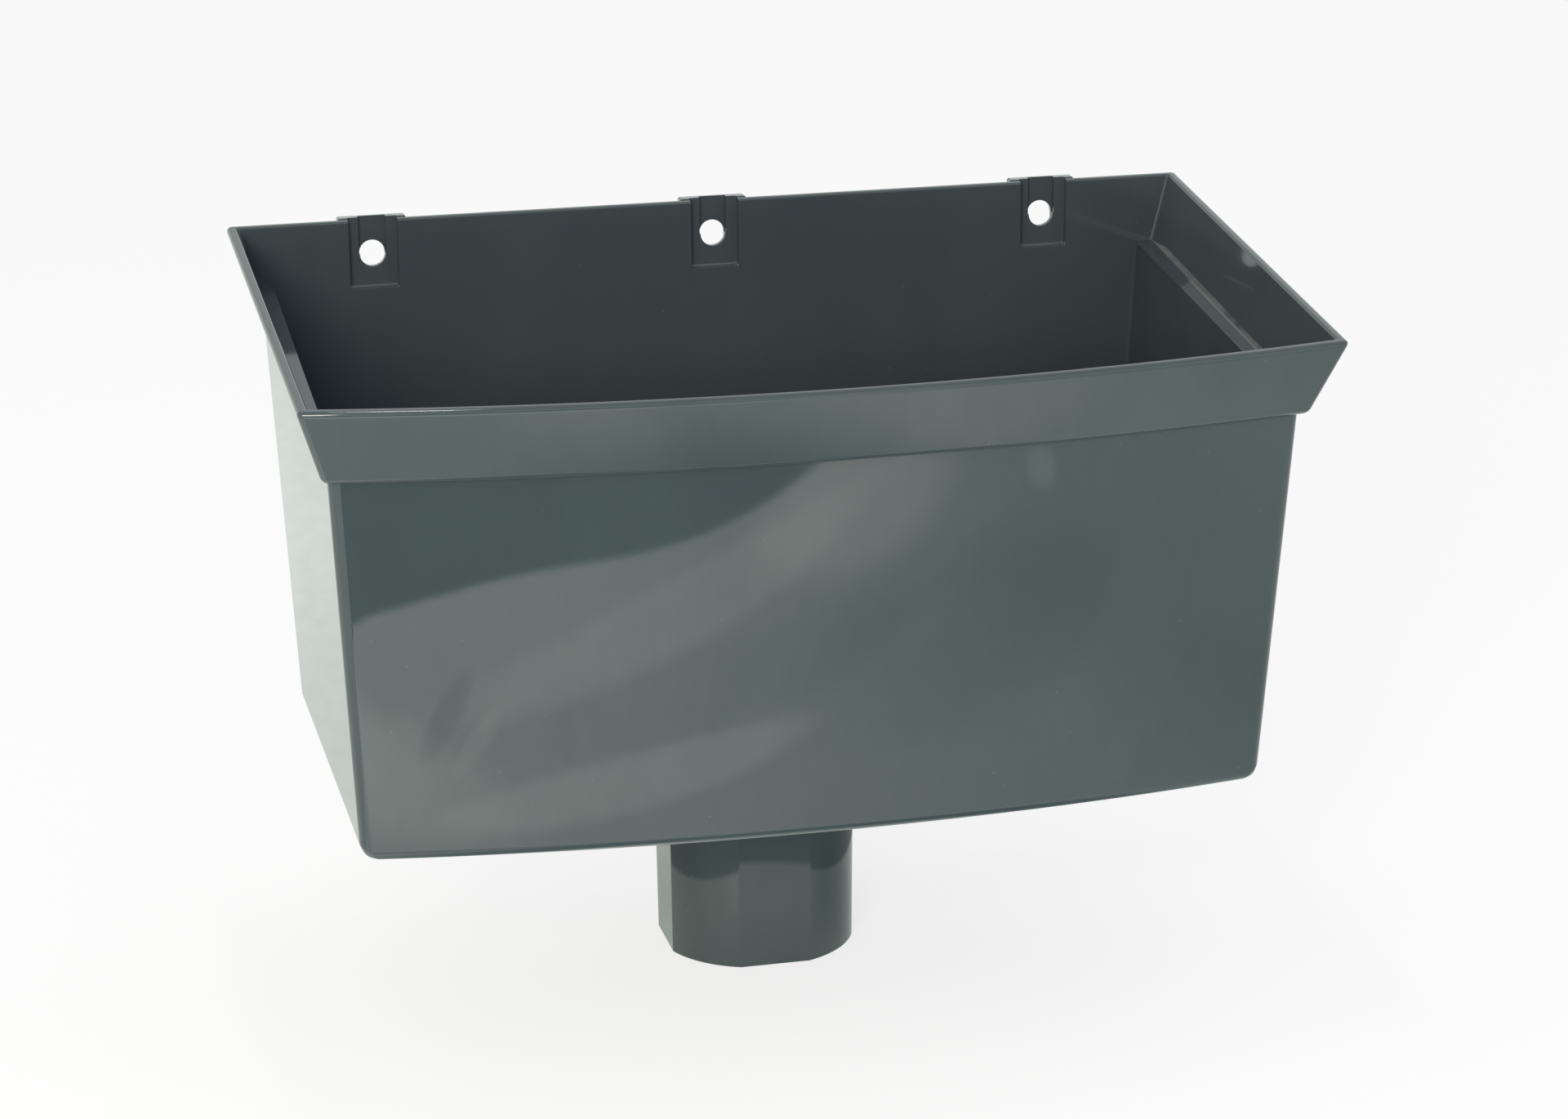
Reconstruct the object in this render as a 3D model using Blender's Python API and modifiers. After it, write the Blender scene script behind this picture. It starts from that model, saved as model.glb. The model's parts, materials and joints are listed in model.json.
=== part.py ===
"""Downpipe hopper head: one moulded rainwater box with a flared rim, three wall lugs
and a spigot outlet. Metres, +Z up, the wall behind it at +Y, the front towards -Y.
The origin is on the wall plane, in the middle of the flat rear face of the centre lug."""

from math import asin, cos, pi, radians, sin, sqrt, tan

import bmesh
import bpy
from mathutils import Matrix, Vector

# Rim: the flared mouth, whose plane falls towards the front
rim_width = 0.330
rim_depth = 0.1755
rim_bow = 0.0128
rim_fall = tan(radians(6.05))
rim_taper = 0.0106
lip_wall = 0.0036
flare_drop = 0.0274
flare_run_side = 0.0081
flare_run_front = 0.0120
foot_bow = 0.0110
foot_wall = 0.0022

# Body: the tapered box under the ledge
body_height = 0.1705
overhang_side = 0.0028
overhang_front = 0.0028
ledge_bow = 0.0110
ledge_wall = 0.0044
floor_half = 0.1466
floor_depth = 0.1502
floor_bow = 0.0131
wall = 0.0039
back_wall = 0.0030

# Rounded edges
corner_radius = 0.0042
floor_front_radius = 0.0038
floor_side_radius = 0.0063
foot_radius = 0.0034
flare_corner_radius = 0.0024
back_corner_radius = 0.0032
lip_radius = 0.0014
lip_inner_radius = 0.0010
back_top_radius = 0.0007
inner_corner_radius = 0.0020
ledge_edge_radius = 0.0008
rounding_steps = 5
widest_rounding = 0.008

# Outlet: round with four flats, drafted towards its plain end
outlet_diameter = 0.0674
outlet_flats = 0.0630
outlet_draft = 0.0009
outlet_length = 0.0767
outlet_wall = 0.0026
outlet_behind = 0.0522
outlet_edge = 0.0006
outlet_steps = 96

# Wall lugs: hollow stand-off pads, each with a recess for the screw head
lug_pitch = 0.1165
lug_width = 0.0230
lug_reach = 0.0040
lug_height = 0.0268
lug_proud = 0.0003
lug_edge = 0.0008
recess_width = 0.0165
recess_height = 0.0235
recess_edge = 0.0006
plate = 0.0038
groove_width = 0.0092
groove_depth = 0.0020
hole_diameter = 0.0090
hole_drop = 0.0123
hole_steps = 32

# Modelling: steps along the bow, the overlap of joined solids, the overrun of cutters
bow_steps = 24
overlap = 0.001
overrun = 0.004
smooth_below = radians(32)

grey = (0.040, 0.046, 0.050, 1.0)
gloss = 0.22

# Levels and places that follow from the sizes above
rim_level = (hole_drop + hole_diameter / 2 + lug_height) / 2
floor_level = rim_level - body_height
outlet_level = floor_level - outlet_length
outlet_y = -lug_reach - outlet_behind
side_slope = flare_run_side / flare_drop
front_slope = flare_run_front / flare_drop


def clear_scene():
    for thing in list(bpy.data.objects):
        bpy.data.objects.remove(thing, do_unlink=True)


def new_collection(name):
    made = bpy.data.collections.new(name)
    bpy.context.scene.collection.children.link(made)
    return made


def new_object(name, mesh_data, collection):
    mesh = bpy.data.meshes.new(name)
    bmesh.ops.recalc_face_normals(mesh_data, faces=mesh_data.faces)
    for face in mesh_data.faces:
        face.smooth = True
    mesh_data.to_mesh(mesh)
    mesh_data.free()
    made = bpy.data.objects.new(name, mesh)
    collection.objects.link(made)
    return made


def new_cutter(name, mesh_data):
    made = new_object(name, mesh_data, cutters)
    made.hide_render = True
    made.display_type = "WIRE"
    return made


def add_boolean(target, operation, tool):
    boolean = target.modifiers.new(tool.name, "BOOLEAN")
    boolean.operation = operation
    boolean.solver = "EXACT"
    boolean.object = tool


def add_bevel(target, radius):
    bevel = target.modifiers.new("rounded_edges", "BEVEL")
    bevel.limit_method = "ANGLE"
    bevel.angle_limit = radians(60)
    bevel.width = radius
    bevel.segments = 3


def add_smoothing(target):
    """Shades the surface smooth, but for the edges that turn by more than smooth_below."""
    nodes = bpy.data.node_groups.new("smooth_by_angle", "GeometryNodeTree")
    nodes.interface.new_socket("Geometry", in_out="INPUT", socket_type="NodeSocketGeometry")
    nodes.interface.new_socket("Geometry", in_out="OUTPUT", socket_type="NodeSocketGeometry")
    start = nodes.nodes.new("NodeGroupInput")
    end = nodes.nodes.new("NodeGroupOutput")
    angle = nodes.nodes.new("GeometryNodeInputMeshEdgeAngle")
    compare = nodes.nodes.new("FunctionNodeCompare")
    shade = nodes.nodes.new("GeometryNodeSetShadeSmooth")
    compare.operation = "LESS_THAN"
    compare.inputs["B"].default_value = smooth_below
    shade.domain = "EDGE"
    nodes.links.new(angle.outputs["Unsigned Angle"], compare.inputs["A"])
    nodes.links.new(compare.outputs["Result"], shade.inputs["Shade Smooth"])
    nodes.links.new(start.outputs["Geometry"], shade.inputs["Geometry"])
    nodes.links.new(shade.outputs["Geometry"], end.inputs["Geometry"])
    target.modifiers.new("smooth_by_angle", "NODES").node_group = nodes


def outline(half, depth, bow, drop, fall, taper, back):
    """Corners of a plan outline from back left round the front to back right. Its sides
    close in by the taper, and the outline lies in a plane that falls to the front."""
    front_half = half - taper * depth
    radius = (front_half**2 + bow**2) / (2 * bow)
    reach = asin(front_half / radius)
    points = [(taper * back - half, -back)]
    for step in range(bow_steps + 1):
        turn = reach * (2 * step / bow_steps - 1)
        points.append((radius * sin(turn), -depth - bow + radius * (1 - cos(turn))))
    points.append((half - taper * back, -back))
    return [Vector((x, y - lug_reach, rim_level - drop + fall * y)) for x, y in points]


def skin(mesh_data, outlines):
    """One skin of the box through four outlines: the floor, the inner and outer edge of
    the ledge, and the top. The back is one flat face, and so is each end of the ledge,
    so that no edge meets the roundings of its corner."""
    rings = [[mesh_data.verts.new(point) for point in points] for points in outlines]
    floor, inner, outer, top = rings
    for low, high in ((floor, inner), (outer, top)):
        for at in range(len(low) - 1):
            mesh_data.faces.new((low[at], low[at + 1], high[at + 1], high[at]))
    for start in (0, -3):
        corner = slice(start, start + 3 or None)
        mesh_data.faces.new(outer[corner] + inner[corner][::-1])
    for at in range(2, len(inner) - 3):
        mesh_data.faces.new((outer[at], outer[at + 1], inner[at + 1], inner[at]))
    mesh_data.faces.new(floor)
    mesh_data.faces.new([ring[0] for ring in rings] + [ring[-1] for ring in rings[::-1]])
    return rings


def round_edges(mesh_data, firsts, seconds, radius):
    """Gives the edges between matching corners a radius. The weight is how far the
    rounding reaches along both faces, as a share of the widest."""
    weights = mesh_data.edges.layers.float.get("bevel_weight_edge")
    for first, second in zip(firsts, seconds):
        edge = mesh_data.edges.get((first, second))
        edge[weights] = radius * tan(edge.calc_face_angle() / 2) / widest_rounding


def make_box():
    """The open box as one shell: an outer skin from the floor to the rim, and an inner one."""
    foot_half = rim_width / 2 - flare_run_side
    foot_depth = rim_depth - flare_run_front
    lip_half = rim_width / 2 + side_slope * lip_radius
    lip_depth = rim_depth + front_slope * lip_radius
    body_half = foot_half - overhang_side
    body_depth = foot_depth - overhang_front
    draft = (body_half - floor_half) / (body_height - flare_drop)
    body_taper = draft * rim_fall
    ledge_drop = flare_drop - ledge_wall
    inner_half = body_half + draft * ledge_wall - wall
    inner_depth = body_depth - wall
    inner_foot_half = foot_half + side_slope * ledge_wall - foot_wall
    inner_foot_depth = foot_depth + front_slope * ledge_wall - foot_wall
    mouth_half = lip_half - lip_wall
    mouth_depth = lip_depth - lip_wall

    mesh_data = bmesh.new()
    mesh_data.edges.layers.float.new("bevel_weight_edge")
    floor, ledge, foot, rim = skin(
        mesh_data,
        [
            outline(floor_half, floor_depth, floor_bow, body_height, 0, 0, 0),
            outline(body_half, body_depth, ledge_bow, flare_drop, rim_fall, body_taper, 0),
            outline(foot_half, foot_depth, foot_bow, flare_drop, rim_fall, rim_taper, 0),
            outline(lip_half, lip_depth, rim_bow, 0, rim_fall, rim_taper, 0),
        ],
    )
    basin, shelf, throat, lip = skin(
        mesh_data,
        [
            outline(
                floor_half - wall, floor_depth - wall, floor_bow, body_height - wall, 0, 0, back_wall
            ),
            outline(
                inner_half, inner_depth, ledge_bow, ledge_drop, rim_fall, body_taper, back_wall
            ),
            outline(
                inner_foot_half, inner_foot_depth, foot_bow, ledge_drop, rim_fall, rim_taper, back_wall
            ),
            outline(mouth_half, mouth_depth, rim_bow, 0, rim_fall, rim_taper, back_wall),
        ],
    )
    for at in range(len(rim)):
        after = (at + 1) % len(rim)
        mesh_data.faces.new((rim[at], rim[after], lip[after], lip[at]))
    bmesh.ops.recalc_face_normals(mesh_data, faces=mesh_data.faces)

    round_edges(mesh_data, floor[1:-1], floor[2:-1], floor_front_radius)
    round_edges(mesh_data, (floor[0], floor[-1]), (floor[1], floor[-2]), floor_side_radius)
    round_edges(mesh_data, foot, foot[1:], foot_radius)
    round_edges(mesh_data, rim, rim[1:], lip_radius)
    round_edges(mesh_data, lip, lip[1:], lip_inner_radius)
    round_edges(mesh_data, rim[-1:], rim[:1], back_top_radius)
    round_edges(mesh_data, lip[-1:], lip[:1], back_top_radius)
    round_edges(mesh_data, shelf, shelf[1:], ledge_edge_radius)
    round_edges(mesh_data, basin, basin[1:] + basin[:1], inner_corner_radius)
    for at in (1, -2):
        round_edges(mesh_data, [floor[at]], [ledge[at]], corner_radius)
        round_edges(mesh_data, [foot[at]], [rim[at]], flare_corner_radius)
        round_edges(mesh_data, [throat[at]], [lip[at]], inner_corner_radius)
        round_edges(mesh_data, [basin[at]], [shelf[at]], inner_corner_radius)
    for at in (0, -1):
        round_edges(mesh_data, [foot[at]], [rim[at]], back_corner_radius)
        round_edges(mesh_data, [basin[at]], [shelf[at]], inner_corner_radius)

    box = new_object("hopper_head", mesh_data, parts)
    rounding = box.modifiers.new("rounded_edges", "BEVEL")
    rounding.limit_method = "WEIGHT"
    rounding.width = widest_rounding
    rounding.segments = rounding_steps
    rounding.use_clamp_overlap = False
    return box


def drafted_prism(steps, half, low, high):
    """A tapered prism round the outlet's axis. Its half width is given at the plain end."""
    per_metre = outlet_draft / outlet_length
    mesh_data = bmesh.new()
    bmesh.ops.create_cone(
        mesh_data,
        cap_ends=True,
        segments=steps,
        radius1=half + per_metre * (low - outlet_level),
        radius2=half + per_metre * (high - outlet_level),
        depth=high - low,
        matrix=Matrix.Translation((0, outlet_y, (low + high) / 2)) @ Matrix.Rotation(pi / steps, 4, "Z"),
    )
    return mesh_data


def outlet_form(name, inset, low, high):
    """The outlet's section, round and cut by four flats, between two levels."""
    corner = sqrt(2) * (outlet_flats / 2 - inset)
    round_form = new_cutter(
        name, drafted_prism(outlet_steps, outlet_diameter / 2 - inset, low, high)
    )
    flat_form = new_cutter(
        name + "_flats", drafted_prism(4, corner, low - overrun, high + overrun)
    )
    add_boolean(round_form, "INTERSECT", flat_form)
    return round_form


def boxes_on_lugs(name, width, y_range, z_range):
    """One box on each lug, between two y and two z values."""
    centre = Vector((0, sum(y_range) / 2, sum(z_range) / 2))
    size = Matrix.Diagonal((width, y_range[1] - y_range[0], z_range[1] - z_range[0], 1))
    mesh_data = bmesh.new()
    for place in (-lug_pitch, 0, lug_pitch):
        bmesh.ops.create_cube(
            mesh_data, size=1, matrix=Matrix.Translation(centre + Vector((place, 0, 0))) @ size
        )
    return new_cutter(name, mesh_data)


def screw_holes():
    """A round rod through each lug."""
    length = plate + 2 * overrun
    mesh_data = bmesh.new()
    for place in (-lug_pitch, 0, lug_pitch):
        centre = Vector((place, -plate / 2, rim_level - hole_drop))
        bmesh.ops.create_cone(
            mesh_data,
            cap_ends=True,
            segments=hole_steps,
            radius1=hole_diameter / 2,
            radius2=hole_diameter / 2,
            depth=length,
            matrix=Matrix.Translation(centre)
            @ Matrix.Rotation(pi / 2, 4, "X")
            @ Matrix.Rotation(pi / hole_steps, 4, "Z"),
        )
    return new_cutter("screw_holes", mesh_data)


def add_outlet(box):
    tube = outlet_form("outlet", 0, outlet_level, floor_level + overlap)
    add_bevel(tube, outlet_edge)
    bore = outlet_form(
        "outlet_bore", outlet_wall, outlet_level - overrun, floor_level + wall + overrun
    )
    add_boolean(box, "UNION", tube)
    add_boolean(box, "DIFFERENCE", bore)


def add_lugs(box):
    inner_face = -lug_reach - back_wall
    top = rim_level + overrun
    pads = boxes_on_lugs(
        "lug_pads",
        lug_width,
        (-lug_reach - overlap, 0),
        (rim_level - lug_height, rim_level + lug_proud),
    )
    add_bevel(pads, lug_edge)
    recess = boxes_on_lugs(
        "lug_recesses",
        recess_width,
        (inner_face - overrun, -plate),
        (rim_level - recess_height, top),
    )
    add_bevel(recess, recess_edge)
    groove = boxes_on_lugs(
        "lug_grooves", groove_width, (inner_face, groove_depth - plate), (rim_level - hole_drop, top)
    )
    add_boolean(box, "UNION", pads)
    add_boolean(box, "DIFFERENCE", recess)
    add_boolean(box, "DIFFERENCE", groove)
    add_boolean(box, "DIFFERENCE", screw_holes())


def paint(box):
    material = bpy.data.materials.new("gloss_plastic")
    material.use_nodes = True
    shader = material.node_tree.nodes["Principled BSDF"]
    shader.inputs["Base Color"].default_value = grey
    shader.inputs["Roughness"].default_value = gloss
    shader.inputs["Metallic"].default_value = 0
    box.data.materials.append(material)


clear_scene()
parts = new_collection("downpipe_hopper_head")
cutters = new_collection("cutters")
cutters.hide_render = True
hopper = make_box()
add_outlet(hopper)
add_lugs(hopper)
paint(hopper)
add_smoothing(hopper)
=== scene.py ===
import json
import math

import bmesh
import bpy
from mathutils import Matrix, Vector

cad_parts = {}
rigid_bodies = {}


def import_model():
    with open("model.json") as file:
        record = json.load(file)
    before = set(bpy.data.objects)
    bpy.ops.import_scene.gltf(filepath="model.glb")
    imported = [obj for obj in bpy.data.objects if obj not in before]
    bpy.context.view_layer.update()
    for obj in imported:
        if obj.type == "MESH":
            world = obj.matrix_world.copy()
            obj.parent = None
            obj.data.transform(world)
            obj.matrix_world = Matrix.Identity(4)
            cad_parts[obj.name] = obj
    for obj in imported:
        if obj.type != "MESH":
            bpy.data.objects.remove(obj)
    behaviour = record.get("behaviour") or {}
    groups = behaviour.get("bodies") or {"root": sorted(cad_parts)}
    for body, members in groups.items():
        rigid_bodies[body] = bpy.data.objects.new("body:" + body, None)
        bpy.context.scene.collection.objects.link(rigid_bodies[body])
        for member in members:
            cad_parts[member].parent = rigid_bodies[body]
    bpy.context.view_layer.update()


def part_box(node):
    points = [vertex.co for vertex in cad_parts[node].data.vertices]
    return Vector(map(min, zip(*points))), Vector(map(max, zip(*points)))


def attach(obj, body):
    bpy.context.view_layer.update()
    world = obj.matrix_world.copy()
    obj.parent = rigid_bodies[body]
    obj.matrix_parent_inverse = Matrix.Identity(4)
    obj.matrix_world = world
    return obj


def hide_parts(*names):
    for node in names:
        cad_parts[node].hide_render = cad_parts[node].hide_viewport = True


for thing in list(bpy.data.objects):
    bpy.data.objects.remove(thing, do_unlink=True)

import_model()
print("frame loaded")


# Shader maths: a Wire is one output socket, and an expression on wires adds the nodes
class Wire:
    def __init__(self, paint, socket):
        self.paint = paint
        self.socket = socket

    def out(self, name):
        return Wire(self.paint, self.socket.node.outputs[name])

    def maths(self, operation, *items):
        return self.paint.add("Math", {"operation": operation}, dict(enumerate(items)))

    def __add__(self, other):
        return self.maths("ADD", self, other)

    def __radd__(self, other):
        return self.maths("ADD", other, self)

    def __sub__(self, other):
        return self.maths("SUBTRACT", self, other)

    def __rsub__(self, other):
        return self.maths("SUBTRACT", other, self)

    def __mul__(self, other):
        return self.maths("MULTIPLY", self, other)

    def __rmul__(self, other):
        return self.maths("MULTIPLY", other, self)

    def __pow__(self, other):
        return self.maths("POWER", self, other)

    def atLeast(self, other):
        return self.maths("MAXIMUM", self, other)

    def atMost(self, other):
        return self.maths("MINIMUM", self, other)

    def sine(self):
        return self.maths("SINE", self)

    # 0 below the low value, 1 above the high one, and smooth in between
    def step(self, low, high):
        sockets = {"Value": self, "From Min": low, "From Max": high}
        return self.paint.add("MapRange", {"interpolation_type": "SMOOTHSTEP"}, sockets)


class Painter:
    def __init__(self, owner):
        owner.use_nodes = True
        self.tree = owner.node_tree
        self.tree.nodes.clear()

    # one node: its type, its settings, then the values or links of its sockets
    def add(self, kind, settings=None, sockets=None, output=0):
        node = self.tree.nodes.new("ShaderNode" + kind)
        for name, value in (settings or {}).items():
            setattr(node, name, value)
        for name, item in (sockets or {}).items():
            if isinstance(item, Wire):
                self.tree.links.new(item.socket, node.inputs[name])
            else:
                node.inputs[name].default_value = item
        if node.outputs:
            return Wire(self, node.outputs[output])

    def noise(self, where, scale, detail, rough, warp=0.0):
        sockets = {
            "Vector": where,
            "Scale": scale,
            "Detail": detail,
            "Roughness": rough,
            "Distortion": warp,
        }
        return self.add("TexNoise", {}, sockets)

    def mixColour(self, share, first, second):
        return self.add("Mix", {"data_type": "RGBA"}, {0: share, 6: first, 7: second}, 2)

    def stretched(self, where, scale):
        return self.add("Mapping", {"vector_type": "POINT"}, {"Vector": where, "Scale": scale})

    def finish(self, surface):
        kind = "OutputWorld" if isinstance(self.tree.id_data, bpy.types.World) else "OutputMaterial"
        self.add(kind, {}, {"Surface": surface})


# Moulded plastic, anthracite grey: polished outside, duller inside where the core left it, and
# painted lighter inside and on the lugs' cuts to stand in for light there
plastic = {
    "colour": (0.0480, 0.0680, 0.0750, 1.0),
    "paleColour": (0.0550, 0.0775, 0.0845, 1.0),
    "dustColour": (0.20, 0.21, 0.20, 1.0),
    "dustShare": 0.05,
    "dustDullness": 0.5,
    "lintScale": 110.0,
    "lintShare": 0.55,
    "lintDullness": 0.3,
    "gloss": 0.025,
    "glossSpread": 0.02,
    "rubDullness": 0.03,
    "refraction": 1.60,
    "coat": 0.35,
    "coatGloss": 0.015,
    "warpHeight": 0.00016,
    "peelHeight": 0.0000022,
    "grainHeight": 0.0000012,
    # noises: scale per metre, detail, roughness, and distortion where there is one
    "cloudNoise": (16.0, 4.0, 0.6, 0.6),
    "speckNoise": (900.0, 3.0, 0.6),
    "filmNoise": (30.0, 4.0, 0.6),
    "patchNoise": (22.0, 3.0, 0.55),
    "rubNoise": (14.0, 3.0, 0.55),
    "rubPlaceNoise": (12.0, 2.0, 0.5),
    "warpNoise": (11.0, 1.0, 0.4, 0.3),
    "peelNoise": (420.0, 2.0, 0.5),
    "grainNoise": (2600.0, 1.0, 0.5),
    "cloudStretch": (1.0, 1.0, 0.45),
    "rubStretch": (3.0, 3.0, 60.0),
    # masks: where each one starts and where it is full
    "cloudMask": (0.35, 0.7),
    "speckMask": (0.62, 0.75),
    "filmMask": (0.45, 0.75),
    "upwardMask": (0.5, 0.95),
    "lintMask": (0.018, 0.036),
    "rubMask": (0.60, 0.72),
    "rubPlaceMask": (0.5, 0.65),
}
# painted light: the inside faces' copy of the plastic, lighter in colour to stand in for light
# inside the box; its dullness is the core side's real finish
satinPaintedLight = dict(
    plastic,
    colour=(0.0610, 0.0800, 0.0900, 1.0),
    paleColour=(0.0680, 0.0885, 0.0985, 1.0),
    gloss=0.07,
    coat=0.0,
    warpHeight=0.0001,
    peelHeight=0.000003,
)
# painted light: a copy of the plastic painted lighter still, on the lugs' recesses, grooves, slots
# and holes
padPaintedLight = dict(
    satinPaintedLight,
    colour=(0.0725, 0.0890, 0.0950, 1.0),
    paleColour=(0.0785, 0.0960, 0.1030, 1.0),
)


def makePlastic(name, look):
    material = bpy.data.materials.new(name)
    paint = Painter(material)
    where = paint.add("TexCoord").out("Object")
    facing = paint.add("NewGeometry").out("Normal")
    upward = paint.add("SeparateXYZ", {}, {"Vector": facing}).out("Z")

    # colour: slow clouds where the melt ran, a little dust on what faces up, and specks of lint
    flow = paint.noise(paint.stretched(where, look["cloudStretch"]), *look["cloudNoise"])
    cloud = flow.step(*look["cloudMask"])
    colour = paint.mixColour(cloud, look["colour"], look["paleColour"])
    speck = paint.noise(where, *look["speckNoise"]).step(*look["speckMask"])
    film = paint.noise(where, *look["filmNoise"]).step(*look["filmMask"])
    settled = upward.step(*look["upwardMask"])
    dust = settled * (0.5 * film + 0.5 * speck) * look["dustShare"]
    colour = paint.mixColour(dust, colour, look["dustColour"])
    near = paint.add("TexVoronoi", {}, {"Vector": where, "Scale": look["lintScale"]})
    lint = (1.0 - near.out("Distance").step(*look["lintMask"])) * look["lintShare"]
    colour = paint.mixColour(lint, colour, look["dustColour"])

    # gloss: duller in slow patches, where hands rubbed it, and under dust and lint
    patch = paint.noise(where, *look["patchNoise"])
    rubs = paint.noise(paint.stretched(where, look["rubStretch"]), *look["rubNoise"])
    rubbed = paint.noise(where, *look["rubPlaceNoise"]).step(*look["rubPlaceMask"])
    rub = rubs.step(*look["rubMask"]) * rubbed
    rough = look["gloss"] + look["glossSpread"] * (patch - 0.5) + look["rubDullness"] * rub
    rough = rough + look["dustDullness"] * dust + look["lintDullness"] * lint

    # surface: broad cooling waves, the fine skin of the mould, and grain
    warp = paint.noise(where, *look["warpNoise"])
    peel = paint.noise(where, *look["peelNoise"])
    grain = paint.noise(where, *look["grainNoise"])
    height = warp * look["warpHeight"] + peel * look["peelHeight"] + grain * look["grainHeight"]
    bump = paint.add("Bump", {}, {"Height": height, "Distance": 1.0, "Strength": 1.0})

    sockets = {
        "Base Color": colour,
        "Roughness": rough,
        "Normal": bump,
        "IOR": look["refraction"],
        "Coat Weight": look["coat"],
        "Coat Roughness": look["coatGloss"],
    }
    paint.finish(paint.add("BsdfPrincipled", {}, sockets))
    return material


# The hopper's own sizes, in metres. Levels are measured down from the rim at the wall
rim = {
    "level": 0.0218,
    "width": 0.32998,
    "depth": 0.17548,
    "bow": 0.0128,
    "fall": math.tan(math.radians(6.05)),
    "taper": 0.0106,
    "lipWall": 0.0036,
    "flareDrop": 0.0274,
    "runSide": 0.0081,
    "runFront": 0.0120,
    "footBow": 0.0110,
    "footWall": 0.0022,
}
body = {
    "height": 0.1705,
    "overhangSide": 0.0028,
    "overhangFront": 0.0028,
    "ledgeBow": 0.0110,
    "ledgeWall": 0.0044,
    "floorHalf": 0.1466,
    "floorDepth": 0.1502,
    "floorBow": 0.0131,
    "wall": 0.0039,
    "backWall": 0.0030,
    "bowSteps": 96,
    "endChord": 0.028,  # of the bow
}
rounding = {
    "steps": 8,
    "widest": 0.008,
    "corner": 0.0042,
    "floorFront": 0.0038,
    "floorSide": 0.0063,
    "foot": 0.0034,
    "flareCorner": 0.0024,
    "backCorner": 0.0032,
    "lip": 0.0014,
    "lipInner": 0.0010,
    "backTop": 0.0007,
    "innerCorner": 0.0020,
    "ledgeEdge": 0.0008,
    "throatCorner": 0.0012,
    "throatRoot": 0.0006,
    # the joined forms: segments of each bevel, and how sharp an edge has to be
    "edgeSteps": 5,
    "filletSteps": 4,
    "endSteps": 3,
    "cutSteps": 2,
    "sharpAngle": math.radians(40),
    "creaseAngle": math.radians(10),
    "smoothAngle": math.radians(24),
}
outlet = {
    "level": -0.2254,
    "y": -0.0562,
    "diameter": 0.0674,
    "flats": 0.0630,
    "draft": 0.0009,
    "length": 0.0767,
    "wall": 0.0026,
    "edge": 0.0006,
    "crease": 0.0004,
    "creaseRise": 0.01,  # an upright crease rises more than this
    "root": 0.0012,
    "mouth": 0.0008,
    "rootRadius": 0.036,  # its root and mouth lie within this of its axis
    "steps": 192,
}
lug = {
    "pitch": 0.1165,
    "width": 0.0230,
    "reach": 0.0040,
    "height": 0.0268,
    "proud": 0.0003,
    "edge": 0.0008,
    "recessWidth": 0.0165,
    "recessHeight": 0.0235,
    "recessEdge": 0.0006,
    "plate": 0.0038,
    "grooveWidth": 0.0092,
    "grooveDepth": 0.0020,
    "slotWidth": 0.0088,
    "holeDiameter": 0.0086,
    "holeDrop": 0.0123,
    "holeSteps": 64,
    "cutEdge": 0.0003,
    "cutReach": 0.0062,  # from the wall, where the cuts' softened edges end
}
overrun = 0.004  # how far a cutting form runs past the wall
overlap = 0.001  # how far a joined form runs into it
nearness = 0.0002  # two levels closer than this are the same


def addObject(name, work):
    bmesh.ops.recalc_face_normals(work, faces=work.faces)
    mesh = bpy.data.meshes.new(name)
    work.to_mesh(mesh)
    work.free()
    made = bpy.data.objects.new(name, mesh)
    bpy.context.scene.collection.objects.link(made)
    return made


def outlinePlan(half, depth, bow, drop, fall=0.0, taper=0.0, back=0.0):
    return {
        "half": half,
        "depth": depth,
        "bow": bow,
        "drop": drop,
        "fall": fall,
        "taper": taper,
        "back": back,
    }


# one point of a plan outline: back left, round the bowed front, then back right
def outlinePoint(plan, place, steps):
    if place in (0, steps + 2):
        side = -1 if place == 0 else 1
        x = side * (plan["half"] - plan["taper"] * plan["back"])
        y = -plan["back"]
    else:
        frontHalf = plan["half"] - plan["taper"] * plan["depth"]
        radius = (frontHalf**2 + plan["bow"] ** 2) / (2 * plan["bow"])
        # the end chords of the bow are long, so that its corners' roundings fit on them
        gap = body["endChord"]
        within = gap + (1 - 2 * gap) * (place - 2) / (steps - 2)
        share = {1: 0, steps + 1: 1}.get(place, within)
        turn = math.asin(frontHalf / radius) * (2 * share - 1)
        x = radius * math.sin(turn)
        y = radius * (1 - math.cos(turn)) - plan["depth"] - plan["bow"]
    return Vector((x, y - lug["reach"], rim["level"] - plan["drop"] + plan["fall"] * y))


def edgesAlong(work, verts):
    return [work.edges.get(pair) for pair in zip(verts, verts[1:])]


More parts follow.
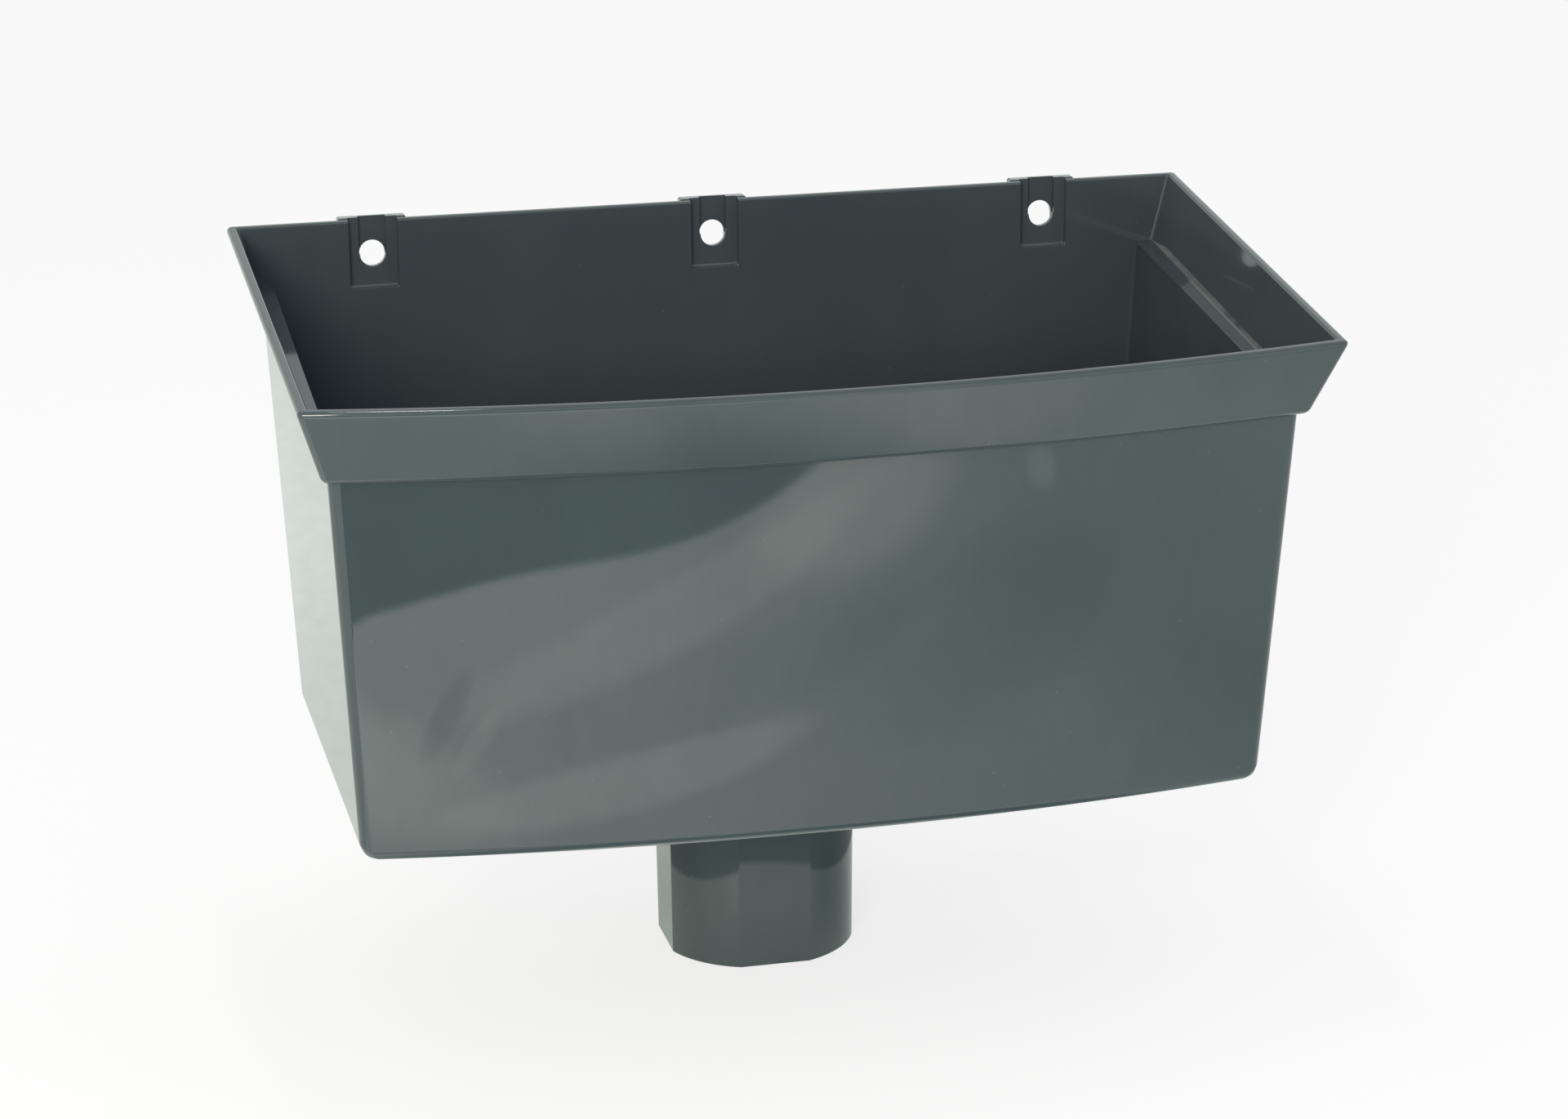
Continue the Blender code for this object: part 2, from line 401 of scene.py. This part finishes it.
# the box as one sheet: a grid bent from the floor up the outside and down the inside,
# with its back and its floors filled. Its rows are the plans' outlines, 0 to 3 outside
# and 4 to 7 inside, and the ledges lie between rows 1 and 2 and between rows 5 and 6
def bendSheet(work, plans, steps):
    size = {"x_segments": steps + 2, "y_segments": len(plans) - 1, "size": 1}
    made = bmesh.ops.create_grid(work, **size)["verts"]
    made.sort(key=lambda vert: (round(vert.co.y, 4), vert.co.x))
    rings = [made[start : start + steps + 3] for start in range(0, len(made), steps + 3)]
    for ring, plan in zip(rings, plans):
        for place, vert in enumerate(ring):
            vert.co = outlinePoint(plan, place, steps)
    # each end of a ledge is one flat face, so that no edge meets its corner's rounding
    ledges = [(rings[row][at], rings[row + 1][at]) for row in (1, 5) for at in (1, -2)]
    bmesh.ops.dissolve_edges(work, edges=[work.edges.get(pair) for pair in ledges])
    backs = {}
    for row in (0, 3, 4, 7):
        pair = [rings[row][0], rings[row][-1]]
        bmesh.ops.contextual_create(work, geom=pair)
        backs[row] = work.edges.get(pair)
    for low, high in ((0, 3), (3, 4), (4, 7)):
        left = edgesAlong(work, [ring[0] for ring in rings[low : high + 1]])
        right = edgesAlong(work, [ring[-1] for ring in rings[low : high + 1]])
        bmesh.ops.edgeloop_fill(work, edges=left + right + [backs[low], backs[high]])
    for row in (0, 7):
        bmesh.ops.edgeloop_fill(work, edges=edgesAlong(work, rings[row]) + [backs[row]])
    inside = {vert for ring in rings[4:] for vert in ring}
    for face in work.faces:
        face.material_index = int(all(vert in inside for vert in face.verts))
    return rings


def roundEdges(work, firsts, seconds, radius):
    weight = work.edges.layers.float["bevel_weight_edge"]
    for pair in zip(firsts, seconds):
        edge = work.edges.get(pair)
        edge[weight] = radius * math.tan(edge.calc_face_angle() / 2) / rounding["widest"]


def makeBox():
    steps = body["bowSteps"]
    fall = rim["fall"]
    sideSlope = rim["runSide"] / rim["flareDrop"]
    frontSlope = rim["runFront"] / rim["flareDrop"]
    footHalf = rim["width"] / 2 - rim["runSide"]
    footDepth = rim["depth"] - rim["runFront"]
    lipHalf = rim["width"] / 2 + sideSlope * rounding["lip"]
    lipDepth = rim["depth"] + frontSlope * rounding["lip"]
    half = footHalf - body["overhangSide"]
    depth = footDepth - body["overhangFront"]
    draft = (half - body["floorHalf"]) / (body["height"] - rim["flareDrop"])
    bodyTaper = draft * fall
    ledgeDrop = rim["flareDrop"] - body["ledgeWall"]
    wall, back = body["wall"], body["backWall"]
    innerHalf = half + draft * body["ledgeWall"] - wall
    throatHalf = footHalf + sideSlope * body["ledgeWall"] - rim["footWall"]
    throatDepth = footDepth + frontSlope * body["ledgeWall"] - rim["footWall"]

    work = bmesh.new()
    work.edges.layers.float.new("bevel_weight_edge")
    outer = [
        outlinePlan(body["floorHalf"], body["floorDepth"], body["floorBow"], body["height"]),
        outlinePlan(half, depth, body["ledgeBow"], rim["flareDrop"], fall, bodyTaper),
        outlinePlan(footHalf, footDepth, rim["footBow"], rim["flareDrop"], fall, rim["taper"]),
        outlinePlan(lipHalf, lipDepth, rim["bow"], 0, fall, rim["taper"]),
    ]
    inner = [
        outlinePlan(
            body["floorHalf"] - wall,
            body["floorDepth"] - wall,
            body["floorBow"],
            body["height"] - wall,
            back=back,
        ),
        outlinePlan(innerHalf, depth - wall, body["ledgeBow"], ledgeDrop, fall, bodyTaper, back),
        outlinePlan(throatHalf, throatDepth, rim["footBow"], ledgeDrop, fall, rim["taper"], back),
        outlinePlan(
            lipHalf - rim["lipWall"],
            lipDepth - rim["lipWall"],
            rim["bow"],
            0,
            fall,
            rim["taper"],
            back,
        ),
    ]
    rings = bendSheet(work, outer + inner[::-1], steps)
    floor, ledge, foot, top, lip, throat, shelf, basin = rings
    bmesh.ops.recalc_face_normals(work, faces=work.faces)

    size = rounding
    roundEdges(work, floor[1:-1], floor[2:-1], size["floorFront"])
    roundEdges(work, (floor[0], floor[-1]), (floor[1], floor[-2]), size["floorSide"])
    roundEdges(work, foot, foot[1:], size["foot"])
    roundEdges(work, top, top[1:], size["lip"])
    roundEdges(work, lip, lip[1:], size["lipInner"])
    roundEdges(work, top[-1:], top[:1], size["backTop"])
    roundEdges(work, lip[-1:], lip[:1], size["backTop"])
    roundEdges(work, shelf, shelf[1:], size["ledgeEdge"])
    roundEdges(work, basin, basin[1:] + basin[:1], size["innerCorner"])
    for at in (1, -2):
        roundEdges(work, [floor[at]], [ledge[at]], size["corner"])
        roundEdges(work, [foot[at]], [top[at]], size["flareCorner"])
        roundEdges(work, [throat[at]], [lip[at]], size["innerCorner"])
        roundEdges(work, [basin[at]], [shelf[at]], size["innerCorner"])
    for at in (0, -1):
        roundEdges(work, [foot[at]], [top[at]], size["backCorner"])
        roundEdges(work, [basin[at]], [shelf[at]], size["innerCorner"])
        roundEdges(work, [throat[at]], [lip[at]], size["throatCorner"])
    roundEdges(work, throat, throat[1:], size["throatRoot"])

    box = addObject("hopperMoulding", work)
    soften = box.modifiers.new("roundedEdges", "BEVEL")
    soften.limit_method = "WEIGHT"
    soften.width = size["widest"]
    soften.segments = size["steps"]
    soften.use_clamp_overlap = False
    return box


def bevelAll(work, edges, radius, segments):
    bmesh.ops.bevel(
        work,
        geom=edges,
        offset=radius,
        affect="EDGES",
        segments=segments,
        profile=0.5,
        material=-1,
        clamp_overlap=True,
    )


# the outlet's form between two levels: a drafted cone with four flats cut on it
def outletForm(inset, low, high):
    slope = outlet["draft"] / outlet["length"]
    half = outlet["diameter"] / 2 - inset
    middle = Matrix.Translation((0, outlet["y"], (low + high) / 2))
    work = bmesh.new()
    bmesh.ops.create_cone(
        work,
        cap_ends=True,
        segments=outlet["steps"],
        radius1=half + slope * (low - outlet["level"]),
        radius2=half + slope * (high - outlet["level"]),
        depth=high - low,
        matrix=middle @ Matrix.Rotation(math.pi / outlet["steps"], 4, "Z"),
    )
    axis = Vector((0, outlet["y"], outlet["level"]))
    for quarter in range(4):
        turned = Matrix.Rotation(quarter * math.pi / 2, 3, "Z")
        way = turned @ Vector((1, 0, -slope * math.sqrt(0.5)))
        place = axis + Vector((way.x, way.y, 0)) * (outlet["flats"] / 2 - inset)
        geometry = work.verts[:] + work.edges[:] + work.faces[:]
        cut = bmesh.ops.bisect_plane(
            work, geom=geometry, plane_co=place, plane_no=way, clear_outer=True
        )
        loop = [item for item in cut["geom_cut"] if isinstance(item, bmesh.types.BMEdge)]
        bmesh.ops.edgeloop_fill(work, edges=loop)
    bmesh.ops.recalc_face_normals(work, faces=work.faces)
    creases = [
        edge
        for edge in work.edges
        if abs(edge.verts[0].co.z - edge.verts[1].co.z) > outlet["creaseRise"]
        and edge.calc_face_angle() > rounding["creaseAngle"]
    ]
    bevelAll(work, creases, outlet["crease"], rounding["cutSteps"])
    return work


# one block on each lug, between two y and two z values
def blocksOnLugs(width, front, rear, low, high, edge=0):
    work = bmesh.new()
    size = Matrix.Diagonal((width, rear - front, high - low, 1))
    for place in (-lug["pitch"], 0, lug["pitch"]):
        middle = Matrix.Translation((place, (front + rear) / 2, (low + high) / 2))
        bmesh.ops.create_cube(work, size=1, matrix=middle @ size)
    if edge:
        bevelAll(work, work.edges[:], edge, rounding["edgeSteps"])
    return work


def screwHoles():
    work = bmesh.new()
    for place in (-lug["pitch"], 0, lug["pitch"]):
        middle = Matrix.Translation((place, -lug["plate"] / 2, rim["level"] - lug["holeDrop"]))
        bmesh.ops.create_cone(
            work,
            cap_ends=True,
            segments=lug["holeSteps"],
            radius1=lug["holeDiameter"] / 2,
            radius2=lug["holeDiameter"] / 2,
            depth=lug["plate"] + 2 * overrun,
            matrix=middle @ Matrix.Rotation(math.pi / 2, 4, "X"),
        )
    return work


def joinForm(target, name, work, operation, finish):
    for face in work.faces:
        face.material_index = finish
    tool = addObject(name, work)
    for material in target.data.materials:
        tool.data.materials.append(material)
    boolean = target.modifiers.new(name, "BOOLEAN")
    boolean.operation = operation
    boolean.solver = "EXACT"
    boolean.object = tool
    return tool


def sharpEdges(work, test):
    found = []
    for edge in work.edges:
        if len(edge.link_faces) == 2 and edge.calc_face_angle() > rounding["sharpAngle"]:
            if all(test(vert.co) for vert in edge.verts):
                found.append(edge)
    return found


# the moulded fillets where the forms meet: the outlet's root and mouth, its end, and the lugs' cuts
def softenCuts(work, floorLevel):
    def atLevel(level):
        def test(point):
            nearAxis = math.hypot(point.x, point.y - outlet["y"]) < outlet["rootRadius"]
            return nearAxis and abs(point.z - level) < nearness

        return test

    def onCuts(point):
        lowest = rim["level"] - lug["recessHeight"] - overlap
        return point.z > lowest and point.y > -lug["cutReach"]

    filletSteps = rounding["filletSteps"]
    bevelAll(work, sharpEdges(work, atLevel(floorLevel)), outlet["root"], filletSteps)
    mouthLevel = floorLevel + body["wall"]
    bevelAll(work, sharpEdges(work, atLevel(mouthLevel)), outlet["mouth"], filletSteps)
    ends = sharpEdges(work, atLevel(outlet["level"]))
    bevelAll(work, ends, outlet["crease"], rounding["endSteps"])
    bevelAll(work, sharpEdges(work, onCuts), lug["cutEdge"], rounding["cutSteps"])


def makeMoulding(finishes):
    box = makeBox()
    for finish in finishes:
        box.data.materials.append(finish)
    floorLevel = rim["level"] - body["height"]
    inFront = -lug["reach"] - body["backWall"]
    top = rim["level"] + overrun
    hole = rim["level"] - lug["holeDrop"]
    grooveFloor = lug["grooveDepth"] - lug["plate"]
    tube = outletForm(0, outlet["level"], floorLevel + overlap)
    endEdges = [
        edge
        for edge in tube.edges
        if all(abs(vert.co.z - outlet["level"]) < nearness for vert in edge.verts)
    ]
    bevelAll(tube, endEdges, outlet["edge"], rounding["edgeSteps"])
    boreTop = floorLevel + body["wall"] + overrun
    bore = outletForm(outlet["wall"], outlet["level"] - overrun, boreTop)
    low = rim["level"] - lug["height"]
    proud = rim["level"] + lug["proud"]
    pads = blocksOnLugs(lug["width"], -lug["reach"] - overlap, 0, low, proud, lug["edge"])
    recess = blocksOnLugs(
        lug["recessWidth"],
        inFront - overrun,
        -lug["plate"],
        rim["level"] - lug["recessHeight"],
        top,
        lug["recessEdge"],
    )
    groove = blocksOnLugs(lug["grooveWidth"], inFront, grooveFloor, hole, top)
    # under the hole the plate is cut from behind, as the groove above it is cut from the front
    slot = blocksOnLugs(lug["slotWidth"], grooveFloor, overrun, low - overrun, hole)
    tools = [
        joinForm(box, "outletTube", tube, "UNION", 0),
        joinForm(box, "outletBore", bore, "DIFFERENCE", 1),
        joinForm(box, "lugPads", pads, "UNION", 0),
        joinForm(box, "lugRecesses", recess, "DIFFERENCE", 2),
        joinForm(box, "lugGrooves", groove, "DIFFERENCE", 2),
        joinForm(box, "lugSlots", slot, "DIFFERENCE", 2),
        joinForm(box, "screwHoles", screwHoles(), "DIFFERENCE", 2),
    ]
    bpy.context.view_layer.update()
    seen = box.evaluated_get(bpy.context.evaluated_depsgraph_get())
    work = bmesh.new()
    work.from_mesh(seen.to_mesh())
    box.modifiers.clear()
    for tool in tools:
        bpy.data.objects.remove(tool, do_unlink=True)
    softenCuts(work, floorLevel)
    for face in work.faces:
        face.smooth = True
    for edge in work.edges:
        edge.smooth = edge.calc_face_angle() < rounding["smoothAngle"]
    work.to_mesh(box.data)
    work.free()
    return box


def evenShading(piece):
    even = piece.modifiers.new("evenNormals", "WEIGHTED_NORMAL")
    even.mode = "FACE_AREA"
    even.keep_sharp = True


finishes = [
    makePlastic("glossPlastic", plastic),
    makePlastic("satinPlasticPaintedLight", satinPaintedLight),
    makePlastic("padPlasticPaintedLight", padPaintedLight),
]
hopper = makeMoulding(finishes)
evenShading(hopper)
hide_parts("hopper_head")
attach(hopper, "root")
print("moulding finished")


# The floor: plain and pale to the camera. Mirror-like surfaces see painted reflections on it: a
# pale sheet with soft folds
floorPlan = {
    "size": 16.0,
    "colour": 0.80,
    "viewColour": 0.36,
    "viewGlow": 0.73,
    "mirrorColour": 0.75,
    "mirrorGlow": 0.35,
    "paleTint": (0.925, 1.0, 0.935, 1.0),
    "tealTint": (0.74, 1.0, 0.92, 1.0),
    "greenTint": (0.72, 1.0, 0.84, 1.0),
    "frontTone": 0.95,
    "leftTone": 0.65,
    "backTone": 0.98,
    "farTone": 1.17,
    "sideTone": 1.05,
    "paintedDarkTone": 0.38,
    # where each tone or tint fades into the next, along x or y
    "leftFade": (-0.2, 0.3),
    "behindFade": (-0.15, 0.0),
    "farFade": (0.15, 0.5),
    "sheetFade": (0.08, 0.16),
    "greenFade": (0.10, 0.30),
    "sideFade": (-0.28, -0.26),
    "paleFade": (0.4, 1.5),  # along the tone
    # the painted sheet's edge: a point on it, the way it faces, and its wave along x
    "edgePoint": (-0.05, -0.54),
    "edgeAcross": (0.494, 0.870),
    "edgeSoftness": 0.005,
    "waveStart": -0.20,
    "waveLength": 0.30,
    "waveHeight": 0.011,
    # a painted fold's tone runs out at its reach, less its pull for one that is all flat
    "paintedFoldReach": 1.6,
    "paintedFoldPull": 0.5,
    "reflectionMottleStretch": (2.5, 1.0, 1.0),
    "reflectionMottleNoise": (60.0, 4.0, 0.6),
    "reflectionMottleLow": 0.90,
    "reflectionMottleSpread": 0.20,
    "paintedShadowCentre": -0.056,
    "paintedShadowPinch": 1.22,
    "paintedShadowInner": (0.118, 0.126),
    "paintedShadowOuter": (0.17, 0.23),
    "paintedShadowDepth": 0.60,
}
# painted reflection folds, seen only by mirror-like surfaces: where, half sizes along and across,
# turn in degrees, how much lighter, and the share of each that is flat before its edge falls off
paintedReflectionFolds = [
    ((-0.19, -0.34), (0.08, 0.045), 20, 0.60, 0.0),
    ((-0.01, -0.492), (0.19, 0.027), -37, 0.26, 0.4),
    ((0.125, -0.585), (0.10, 0.052), -38, 0.46, 0.3),
    ((-0.16, -0.245), (0.10, 0.03), 0, -0.55, 0.0),
    ((-0.048, -0.352), (0.105, 0.020), -24, 0.42, 0.5),
    ((0.16, -0.45), (0.12, 0.07), -30, -0.22, 0.0),
    ((0.30, -0.42), (0.12, 0.20), 0, -0.16, 0.0),
    ((0.0, -0.425), (0.15, 0.035), -26, -0.14, 0.2),
    ((-0.146, -0.39), (0.008, 0.038), 12, -0.36, 0.3),
    ((-0.128, -0.375), (0.006, 0.03), 18, 0.30, 0.2),
    ((0.262, -0.575), (0.011, 0.024), 20, 0.34, 0.1),
    ((0.09, -0.25), (0.09, 0.02), 0, 0.20, 0.0),
    ((-0.05, -0.145), (0.02, 0.025), 0, 0.30, 0.0),
    ((0.08, -0.07), (0.05, 0.05), 0, -0.50, 0.0),
    ((-0.05, 0.0), (0.04, 0.04), 0, -0.12, 0.0),
]
white = (1.0, 1.0, 1.0, 1.0)


# painted reflection: the tone and the tint that mirror-like surfaces see at a place on the floor
def paintedReflectionTone(paint, where, plan, patches):
    split = paint.add("SeparateXYZ", {}, {"Vector": where})
    east, north = split.out("X"), split.out("Y")
    tone = plan["frontTone"] + plan["leftTone"] * (1.0 - east.step(*plan["leftFade"]))
    for (x, y), (long, wide), turn, lift, flat in patches:
        c, s = math.cos(math.radians(turn)), math.sin(math.radians(turn))
        along = ((east - x) * (c / long)) + ((north - y) * (s / long))
        across = ((north - y) * (c / wide)) - ((east - x) * (s / wide))
        reach = plan["paintedFoldReach"] - plan["paintedFoldPull"] * flat
        tone = tone + (1.0 - (along * along + across * across).step(flat, reach)) * lift
    behind = north.step(*plan["behindFade"])
    far = north.step(*plan["farFade"])
    backdrop = plan["backTone"] + (plan["farTone"] - plan["backTone"]) * far
    tone = tone * (1.0 - behind) + backdrop * behind

    # painted reflection: the floor is dark beyond the sheet's edge, for mirror-like surfaces only
    (px, py), (ax, ay), soft = plan["edgePoint"], plan["edgeAcross"], plan["edgeSoftness"]
    wave = ((east - plan["waveStart"]) * (2 * math.pi / plan["waveLength"])).sine()
    northOfEdge = north - py + wave * plan["waveHeight"]
    onSheet = ((east - px) * ax + northOfEdge * ay).step(-soft, soft)
    beyond = (1.0 - onSheet) * (1.0 - east.step(*plan["sheetFade"]))
    tone = tone * (1.0 - beyond) + plan["paintedDarkTone"] * beyond
    aside = (1.0 - east.step(*plan["sideFade"])) * (1.0 - behind)
    tone = tone * (1.0 - aside) + plan["sideTone"] * aside

    # painted shadow: a dark ring round the outlet in the floor's painted reflection, standing in
    # for the hopper's own shadow
    pinched = east * plan["paintedShadowPinch"]
    outward = (pinched * pinched + (north - plan["paintedShadowCentre"]) ** 2.0) ** 0.5
    ring = outward.step(*plan["paintedShadowInner"]) * (1.0 - outward.step(*plan["paintedShadowOuter"]))
    tone = tone * (1.0 - plan["paintedShadowDepth"] * ring)
    # painted reflection: a soft mottle in the sheet's tone, as of cloth seen in mirror-like
    # surfaces
    reflectionMottle = paint.noise(paint.stretched(where, plan["reflectionMottleStretch"]), *plan["reflectionMottleNoise"])
    tone = tone * (plan["reflectionMottleLow"] + plan["reflectionMottleSpread"] * reflectionMottle)

    # the painted reflection's tint: teal to green along x, pale where the tone is light and behind
    pale = tone.step(*plan["paleFade"]).atLeast(behind)
    green = east.step(*plan["greenFade"])
    deep = paint.mixColour(green, plan["tealTint"], plan["greenTint"])
    return tone, paint.mixColour(pale, deep, plan["paleTint"])


# marks the rays from the camera, and those that mirror-like surfaces send out
def sightLines(paint):
    rays = paint.add("LightPath")
    mirrored = (rays.out("Is Glossy Ray") + rays.out("Is Transmission Ray")).atMost(1.0)
    return rays.out("Is Camera Ray"), mirrored


def makeFloor(level, plan, patches):
    mesh = bpy.data.meshes.new("floor")
    work = bmesh.new()
    bmesh.ops.create_grid(work, x_segments=4, y_segments=4, size=plan["size"] / 2)
    bmesh.ops.translate(work, verts=work.verts, vec=(0, 0, level))
    work.to_mesh(mesh)
    work.free()
    floor = bpy.data.objects.new("floor", mesh)
    bpy.context.scene.collection.objects.link(floor)

    material = bpy.data.materials.new("paleFloor")
    paint = Painter(material)
    where = paint.add("TexCoord").out("Object")
    camera, mirrored = sightLines(paint)
    tone, tint = paintedReflectionTone(paint, where, plan, patches)
    # camera rays see an even pale floor; mirror rays see the painted reflection's tone and tint
    shade = (
        (1.0 - (camera + mirrored).atMost(1.0)) * plan["colour"]
        + camera * plan["viewColour"]
        + mirrored * tone * plan["mirrorColour"]
    )
    glowing = camera * plan["viewGlow"] + mirrored * tone * plan["mirrorGlow"]
    tint = paint.mixColour(mirrored, white, tint)
    tinted = paint.add("VectorMath", {"operation": "SCALE"}, {"Vector": tint, "Scale": shade})
    matt = paint.add("BsdfDiffuse", {}, {"Color": tinted})
    glow = paint.add("Emission", {}, {"Color": tint, "Strength": glowing})
    paint.finish(paint.add("AddShader", {}, {0: matt, 1: glow}))
    mesh.materials.append(material)


makeFloor(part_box("hopper_head")[0].z, floorPlan, paintedReflectionFolds)
print("floor laid")


# Soft studio light: an even pale room, a soft box above on the left and a narrow lamp
room = {
    "strength": 0.55,
    "viewStrength": 1.0,
    "mirrorLow": 1.05,
    "mirrorHigh": 0.66,
    "heightFade": (0.1, 0.6),
    "coolFade": (-0.7, 0.1),
    "warmColour": (1.0, 0.99, 0.86, 1.0),
    "coolColour": (1.02, 1.0, 1.12, 1.0),
    "mirrorTint": (0.92, 1.0, 0.95, 1.0),
}
lamps = [
    {
        "name": "softBox",
        "at": (-0.66, -1.55, 0.50),
        "size": (0.55, 0.55),
        "watts": 12.0,
        "colour": (1.0, 0.98, 0.86),
    },
    {
        "name": "stripLamp",
        "at": (-0.08, -0.10, 1.5),
        "size": (0.45, 0.06),
        "watts": 1.6,
        "colour": (1.0, 1.0, 1.0),
    },
]
lampTarget = (0.0, -0.09, -0.07)


def makeRoom(plan):
    world = bpy.data.worlds.new("room")
    bpy.context.scene.world = world
    paint = Painter(world)
    camera, mirrored = sightLines(paint)
    way = paint.add("SeparateXYZ", {}, {"Vector": paint.add("TexCoord").out("Generated")})
    raised = way.out("Z").step(*plan["heightFade"])
    sheen = plan["mirrorLow"] + (plan["mirrorHigh"] - plan["mirrorLow"]) * raised
    plain = 1.0 - (camera + mirrored).atMost(1.0)
    strength = camera * plan["viewStrength"] + mirrored * sheen + plain * plan["strength"]
    cool = way.out("X").step(*plan["coolFade"])
    colour = paint.mixColour(cool, plan["warmColour"], plan["coolColour"])
    colour = paint.mixColour(mirrored, colour, plan["mirrorTint"])
    colour = paint.mixColour(camera, colour, white)
    paint.finish(paint.add("Background", {}, {"Color": colour, "Strength": strength}))


def makeLamp(plan, target):
    light = bpy.data.lights.new(plan["name"], "AREA")
    light.shape = "RECTANGLE"
    light.size, light.size_y = plan["size"]
    light.energy = plan["watts"]
    light.color = plan["colour"]
    lamp = bpy.data.objects.new(plan["name"], light)
    bpy.context.scene.collection.objects.link(lamp)
    lamp.location = plan["at"]
    aim = Vector(target) - Vector(plan["at"])
    lamp.rotation_mode = "QUATERNION"
    lamp.rotation_quaternion = aim.to_track_quat("-Z", "Y")
    lamp.visible_camera = False


makeRoom(room)
for plan in lamps:
    makeLamp(plan, lampTarget)
print("lights placed")


# The camera: the photograph's viewing angle
cameraPlan = {
    "at": (-0.28509, -1.31593, 0.30769),
    "turn": (72.829, 0.484, -13.399),  # degrees about x, y and z
    "lens": 92.33,
    "sensor": 36.0,
    "nearest": 0.05,
    "farthest": 60.0,
}


def makeCamera(plan):
    camera = bpy.data.cameras.new("camera")
    camera.lens = plan["lens"]
    camera.sensor_width = plan["sensor"]
    camera.clip_start = plan["nearest"]
    camera.clip_end = plan["farthest"]
    holder = bpy.data.objects.new("camera", camera)
    bpy.context.scene.collection.objects.link(holder)
    holder.location = plan["at"]
    holder.rotation_euler = [math.radians(angle) for angle in plan["turn"]]
    bpy.context.scene.camera = holder


makeCamera(cameraPlan)
bpy.context.scene.view_settings.view_transform = "Standard"
print("camera set")
